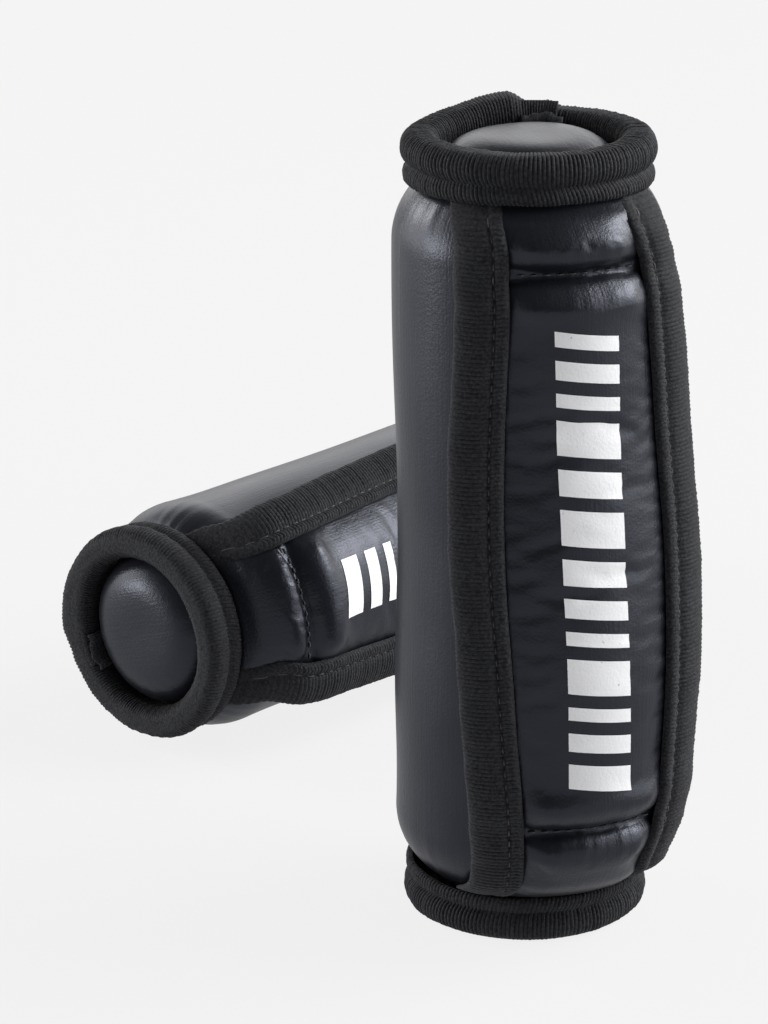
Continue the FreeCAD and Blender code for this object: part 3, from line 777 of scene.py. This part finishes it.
def halves(strap, name, points, faces, height, look, cloth, stands_for):
    """Splits a strap piece at mid-length into a lower and an upper half, shaded as one piece."""
    grip = strap.grip
    points = grip.point(np.asarray(points).reshape(-1, 3))
    cloth = np.asarray(cloth, float).reshape(-1, 2)
    height = np.asarray(height).ravel()
    normals = normals_of(points, faces)
    if len({len(f) for f in faces}) == 1:
        middle = height[np.array(faces)].mean(1)
    else:
        middle = np.array([height[f].mean() for f in faces])
    for part, chosen in (("lower", middle < LENGTH / 2), ("upper", middle >= LENGTH / 2)):
        picked = [faces[k] for k in np.flatnonzero(chosen)]
        used = np.unique(np.concatenate(picked))
        renumber = np.full(len(points), -1)
        renumber[used] = np.arange(len(used))
        part_faces = [renumber[f] for f in picked]
        part_name = f"{grip.strap}_{name}_{part}"
        obj = piece(part_name, points[used], part_faces, look, cloth[used], normals[used])
        fixed, free = (STRAP_START, BEND_END)
        if part == "upper":
            fixed, free = (LENGTH - STRAP_START, LENGTH - BEND_END)
        grip.point([0, 0, fixed])
        grip.point([0, 0, free])
        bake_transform(obj)
        if part == "lower":
            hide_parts(*stands_for)


def pillow(distance, width, power=0.5):
    """0 at a seam and 1 from a width away, as steep beside the seam as stuffed cloth is."""
    return np.clip(np.abs(distance) / width, 0, 1) ** power


def strap_face(strap, seed):
    """The strap's face over its foam, sewn down at both edges and at the two cross seams."""
    low_seam, high_seam = strap.low_seam, strap.HIGH_SEAM
    beside = 12
    heights = np.unique(np.round(np.concatenate([
        np.linspace(FACE_START, low_seam, 36), np.linspace(low_seam, low_seam + beside, 20),
        np.linspace(low_seam + beside, high_seam - beside, 84),
        np.linspace(high_seam - beside, high_seam, 20), np.linspace(high_seam, LENGTH - FACE_START, 28),
    ]), 4))
    share = np.linspace(-1, 1, 45)
    up, side = np.meshgrid(heights, share, indexing="ij")
    half = strap.half_panel(up) + 0.5
    inner = (1 - np.abs(side)) * half
    ends = np.clip((np.minimum(up, LENGTH - up) - STRAP_START - 0.5) / 6, 0, 1)
    loose = np.clip((strap.thickness(up) - 1.8) / 1.6, 0, 1) * np.clip(ends * 2, 0, 1)
    edge = 1.7 * loose * (1 - pillow(inner, 7.0))
    chance = np.random.default_rng(seed)
    puckers = sum(
        np.sin(side * half * TAU / length + chance.uniform(0, TAU)) * length ** 0.5
        for length in (3.1, 4.7, 7.9, 13.0)
    )
    under = 0.25 + np.maximum(edge, 0) - 0.6 * loose
    for level, bulge in ((low_seam, 1.7), (high_seam, 1.5)):
        # the foam swells on both sides of a seam
        off = up - level
        under = under + 1.3 * (1 - pillow(off, 7.0, 0.42)) + 2.4 * np.exp(-(off / 1.9) ** 2)
        swell = np.exp(-((np.abs(off) - 6.5) / 4.0) ** 2) * np.clip(inner / 6, 0, 1)
        under = under - bulge * swell * ends
        under = under + 0.06 * puckers * np.exp(-np.abs(off) / 3.4) * np.clip(inner / 3, 0, 1)
    # a crease goes no deeper than the lining lets it
    under = np.minimum(under, strap.thickness(up) - 0.75)
    points = strap.point(side * half, up, under)
    faces = grid_faces(*up.shape, flip=True)
    fixed = (np.abs(side) > 0.999) | (up < STRAP_START + 1.5) | (up > LENGTH - STRAP_START - 1.5)
    for level in (low_seam, high_seam):
        fixed |= np.abs(up - level) < 0.35
    outward = strap.point(side * half, up, 0.0) - strap.point(side * half, up, 1.0)
    start = points + outward * (chance.normal(0, 0.03, up.shape) * ~fixed)[..., None]
    points = settle(start, faces, fixed, 24, 1.6, 0.008)
    return up, side, half, points, faces


def surface_sampler(strap, up, side, half, points):
    """Gives places on the strap's face from a distance off its middle and a height."""
    heights, share = up[:, 0], side[0]

    def sample(along_arc, height, lift=0.0):
        along_arc, height = np.broadcast_arrays(np.asarray(along_arc, float), np.asarray(height, float))
        shape = along_arc.shape
        s, h = along_arc.ravel(), height.ravel()
        widest = np.interp(h, heights, half[:, 0])
        i = np.clip(np.searchsorted(heights, h) - 1, 0, len(heights) - 2)
        fi = (h - heights[i]) / (heights[i + 1] - heights[i])
        place = np.clip((s / widest + 1) / 2 * (len(share) - 1), 0, len(share) - 1.001)
        j = place.astype(int)
        fj = place - j
        found = (
            points[i, j] * ((1 - fi) * (1 - fj))[:, None] + points[i + 1, j] * (fi * (1 - fj))[:, None]
            + points[i, j + 1] * ((1 - fi) * fj)[:, None] + points[i + 1, j + 1] * (fi * fj)[:, None]
        )
        off = strap.point(s, h, 0.0) - strap.point(s, h, 1.0)
        raised = np.broadcast_to(np.asarray(lift, float), shape).ravel()[:, None]
        return (found + off * raised).reshape(*shape, 3)

    return sample


def binding_path():
    """The tape's path round an edge: (distance off the face's edge, rise over the face, 0-1 depth)."""
    front = [
        (-0.5, -1.0, 0), (-0.2, -0.1, 0), (0.3, 0.35, 0), (1.3, 0.5, 0), (2.3, 0.35, 0), (2.9, -0.2, 0),
        (3.5, 0.35, 0), (4.8, 0.72, 0), (6.6, 0.88, 0), (8.6, 0.80, 0), (10.4, 0.55, 0), (11.6, 0.05, 0),
        (12.3, -0.45, 0),
    ]
    web = [(12.62, -0.2, 0.25), (12.7, 0.0, 0.5), (12.62, 0.2, 0.75)]
    back = [
        (12.3, 0.45, 1), (11.4, -0.1, 1), (9.0, -0.35, 1), (6.0, -0.35, 1), (2.5, -0.25, 1),
        (0.3, -0.1, 1), (-0.4, 0.25, 1),
    ]
    return np.array(front + web + back)


def make_binding(strap, sign, seed):
    """The ribbed knit tape folded round one long edge of the strap."""
    path = binding_path()
    low, high = STRAP_START - 0.2, LENGTH - STRAP_START + 0.2
    count = int(round((high - low) / 0.98))
    step = (high - low) / count
    off, swelling, layer = path.T
    ribs = np.interp(off, [-0.5, 0.5, 2.3, 2.9, 3.6, 5.0, 12.3], [0.08, 0.30, 0.26, 0.06, 0.24, 0.32, 0.32])
    ribs = np.where(layer > 0, 0.2, ribs)
    ribs[-1] = ribs[0] = 0.05
    zigzag = 0.62 * np.clip(1 - np.abs(off - 1.1) / 1.7, -0.2, 1) * (off < 3.0) * (layer == 0)
    shape, faces = rib_shape((-0.5, -0.28, 0.0, 0.28, 0.5), (0.0, 0.75, 1.0, 0.75, 0.0), zigzag, ribs, step)
    where, faces = copies(shape, faces, count, step, "knit_binding", swell=0.3, seed=seed)
    height, proud = low + where[:, 0], where[:, 2]
    row = np.round(where[:, 1]).astype(int)
    off, swelling, layer = off[row], swelling[row], layer[row]
    front, back = layer == 0, layer == 1
    stack = strap.thickness(height)
    chance = np.random.default_rng(seed)
    wobble = sum(
        np.sin(height * TAU / length + chance.uniform(0, TAU)) * size
        for length, size in ((61, 0.16), (27, 0.10), (13, 0.06), (7.5, 0.04))
    )
    out = off + wobble * np.clip(off / 12.5, 0, 1) * np.clip((stack - 1.8) / 2, 0, 1)
    out = out + np.where(front | back, 0.0, proud)
    # the tape is pinched at the cross seams and lies flat where it goes under the rim
    pinch = np.exp(-((height - strap.low_seam) / 3.2) ** 2) * 0.4
    pinch = pinch + np.exp(-((height - strap.HIGH_SEAM) / 2.6) ** 2) * 0.3
    tight = np.clip((np.minimum(height, LENGTH - height) - STRAP_START) / 6, 0, 1)
    rise = (swelling + 0.25 - pinch) * (0.35 + 0.65 * tight)
    behind = np.where(back, stack - swelling + proud * 0.6, layer * stack)
    under = np.where(front, -rise - proud, behind)
    points = strap.point(sign * (strap.half_panel(height) + out), height, under)
    if sign < 0:
        faces = [f[::-1] for f in faces]
    side = "left" if sign > 0 else "right"
    cloth = np.stack([distance_along(path[:, :2])[row], height], -1)
    stands_for = [f"{strap.grip.body}_strap_binding_{side}"]
    halves(strap, f"binding_{side}", points, faces, height, "knit_binding", cloth, stands_for)


def make_lining(strap):
    """The woven lining on the hand's side."""
    heights = np.linspace(LINING_START, LENGTH - LINING_START, 90)
    share = np.linspace(-1, 1, 21)
    up, side = np.meshgrid(heights, share, indexing="ij")
    half = strap.half_panel(up) + 1.5
    points = strap.point(side * half, up, strap.thickness(up) - 0.05)
    halves(strap, "lining", points, grid_faces(*up.shape), up, "strap_lining",
           np.stack([side * half, up], -1), [f"{strap.grip.body}_strap_lining"])


def join_lists(parts):
    """Several (points, faces) as one."""
    points, faces, start = [], [], 0
    for where, made in parts:
        points.append(np.asarray(where, float).reshape(-1, 3))
        faces += [np.asarray(f) + start for f in made]
        start += len(points[-1])
    return np.vstack(points), faces


def make_print(strap, sample):
    """The print down the face: a plain row of slanted bars."""
    half, slope, space, lift = 7.6, 2.4, 3.1, 0.14
    rows, columns = 6, 13
    up, over = np.meshgrid(np.linspace(0, 1, rows), np.linspace(0, 1, columns), indexing="ij")
    distance = half * (2 * over - 1)
    parts, heights, cloth = [], [], []
    place, high = strap.low_seam + 10.3, 150.4
    chance = np.random.default_rng(8)
    while place < high - 2:
        tall = min(chance.choice([3.2, 4.4, 6.0, 8.2]), high - place)
        height = place + slope * over + tall * up
        parts.append((sample(distance, height, lift), grid_faces(rows, columns, flip=True)))
        heights.append(height.ravel())
        cloth.append(np.stack([distance, height], -1).reshape(-1, 2))
        place += tall + space
    points, faces = join_lists(parts)
    halves(strap, "print", points, faces, np.concatenate(heights), "print", np.vstack(cloth), [])


def make_strap_stitches(strap, sample, seed):
    """Thread along the bindings' grooves and across the two seams."""
    parts, heights = [], []
    shape, faces = stitch_shape(1.9, 0.42)
    low, high = STRAP_START + 1.0, LENGTH - STRAP_START - 1.0
    step = 3.0
    count = int((high - low) / step)
    for sign in (-1, 1):
        where, made = copies(shape, faces, count, step, "thread", slip=0.15, swell=0.1, seed=seed)
        height = low + where[:, 0]
        distance = sign * (strap.half_panel(height) + 2.9) + where[:, 1]
        parts.append((strap.point(distance, height, -0.2 - where[:, 2]), made))
        heights.append(height)
    step = 3.1
    for level in (strap.low_seam, strap.HIGH_SEAM):
        half = float(strap.half_panel(level)) - 0.6
        count = int(2 * half / step)
        where, made = copies(shape, faces, count, step, "thread", slip=0.12, swell=0.1, seed=seed + 1)
        distance = where[:, 0] - count * step / 2
        height = level + where[:, 1]
        parts.append((sample(distance, height, 0.25 + where[:, 2]), [f[::-1] for f in made]))
        heights.append(height)
    points, faces = join_lists(parts)
    no_cloth = np.zeros((len(points), 2))
    halves(strap, "thread", points, faces, np.concatenate(heights), "thread", no_cloth, [])


# --------------------------------------------------------------------------------- the two grips
PADS = ("lower", "main", "upper")
for number, grip in enumerate(GRIPS):
    make_cover(grip, 20 + number)
    for top in (False, True):
        make_disc(grip, top, 3 + 2 * number + top)
        make_rim(grip, top, 11 + 2 * number + top)
        make_tape_end(grip, top)
    strap = Strap(grip, LOW_SEAMS[number])
    up, side, half, face_points, faces = strap_face(strap, 31 + number)
    cloth = np.stack([side * half, up], -1)
    stands_for = [f"{grip.body}_strap_face", *(f"{grip.body}_strap_{part}_pad" for part in PADS)]
    halves(strap, "face", face_points, faces, up, "pu_strap", cloth, stands_for)
    make_lining(strap)
    for sign in (-1, 1):
        make_binding(strap, sign, 41 + number + (sign > 0) * 7)
    on_face = surface_sampler(strap, up, side, half, face_points)
    make_print(strap, on_face)
    make_strap_stitches(strap, on_face, 61 + number)

# the pieces that stay as they were built, by the end of their names
INSIDE = {
    "foam_sleeve": "foam", "top_disc_pad": "foam", "bottom_disc_pad": "foam", "sand_bag": "bag_cloth",
    "iron_sand": "iron_sand",
}
for name, node in frame["nodes"].items():
    look = next((value for ending, value in INSIDE.items() if name.endswith(ending)), "pu_cover")
    node.data.materials.clear()
    node.data.materials.append(LOOK[look])


# --------------------------------------------------------------------- floor, light and camera
paint = Shader("floor_paint", (0.06, 0.06, 0.06), 0.95, Emission_Strength=1.0, Specular_IOR_Level=0.0)
seen = paint.node("ShaderNodeLightPath")
paint.set("Emission Color", paint.between(seen, (0.54, 0.54, 0.55), (0.835, 0.835, 0.835)))
FLOOR_HALF = 40.0
FLOOR_DROP = 0.0002
corners = [(x * FLOOR_HALF, y * FLOOR_HALF, 0) for x, y in ((-1, -1), (1, -1), (1, 1), (-1, 1))]
floor = bpy.data.objects.new("floor", raw_mesh("floor", corners, [(0, 1, 2, 3)]))
floor.data.materials.append(paint.material)
floor.location.z = -FLOOR_DROP
bpy.context.scene.collection.objects.link(floor)

world = bpy.data.worlds.new("studio")
world.use_nodes = True
sky = world.node_tree
sky_seen = sky.nodes.new("ShaderNodeLightPath")
sky_colour = sky.nodes.new("ShaderNodeMix")
sky_colour.data_type = "RGBA"
sky_colour.inputs[6].default_value = (0.10, 0.10, 0.10, 1.0)
sky_colour.inputs[7].default_value = (0.88, 0.88, 0.88, 1.0)
sky.links.new(sky_seen.outputs["Is Camera Ray"], sky_colour.inputs[0])
sky.links.new(sky_colour.outputs[2], sky.nodes["Background"].inputs["Color"])
bpy.context.scene.world = world
bpy.context.scene.view_settings.view_transform = "Standard"


def soft_light(name, where, aim, width, height, power):
    """A lamp the size of a soft box, that no camera sees."""
    data = bpy.data.lights.new(name, "AREA")
    data.shape = "RECTANGLE"
    data.size, data.size_y, data.energy = width, height, power
    lamp = bpy.data.objects.new(name, data)
    lamp.location = where
    lamp.rotation_euler = (Vector(aim) - Vector(where)).to_track_quat("-Z", "Y").to_euler()
    lamp.visible_camera = False
    bpy.context.scene.collection.objects.link(lamp)


soft_light("right_wall", (1.15, -0.30, 0.55), (0, 0, 0.1), 2.4, 1.2, 20.0)
soft_light("right_key", (0.95, -0.20, 0.90), (0, 0, 0.1), 0.8, 0.6, 14.0)
soft_light("left_wall", (-1.25, 0.85, 0.42), (0, 0, 0.12), 1.5, 0.9, 9.0)
soft_light("left_key", (-0.90, 1.05, 0.72), (0, 0, 0.12), 0.5, 0.5, 6.0)
soft_light("left_low", (-1.24, 0.36, 0.18), (0, 0, 0.05), 0.40, 0.40, 4.5)
soft_light("back_light", (0.5, 1.7, 0.75), (0, 0, 0.15), 2.2, 1.2, 14.0)

HEADING, TIP, ROLL = 0.336127, 0.322565, -0.0068348
STANDPOINT = (-0.3031, -0.7655, 0.37337)
forward = Vector((math.sin(HEADING) * math.cos(TIP), math.cos(HEADING) * math.cos(TIP), -math.sin(TIP)))
level = Vector((math.cos(HEADING), -math.sin(HEADING), 0.0))
upward = level.cross(forward)
right = level * math.cos(ROLL) + upward * math.sin(ROLL)
above = upward * math.cos(ROLL) - level * math.sin(ROLL)
camera_data = bpy.data.cameras.new("camera")
camera_data.sensor_width = 36.0
camera_data.lens = 129.28
camera = bpy.data.objects.new("camera", camera_data)
turn = Matrix((right, above, -forward)).transposed().to_4x4()
camera.matrix_world = Matrix.Translation(STANDPOINT) @ turn
bpy.context.scene.collection.objects.link(camera)
bpy.context.scene.camera = camera

bpy.context.view_layer.update()
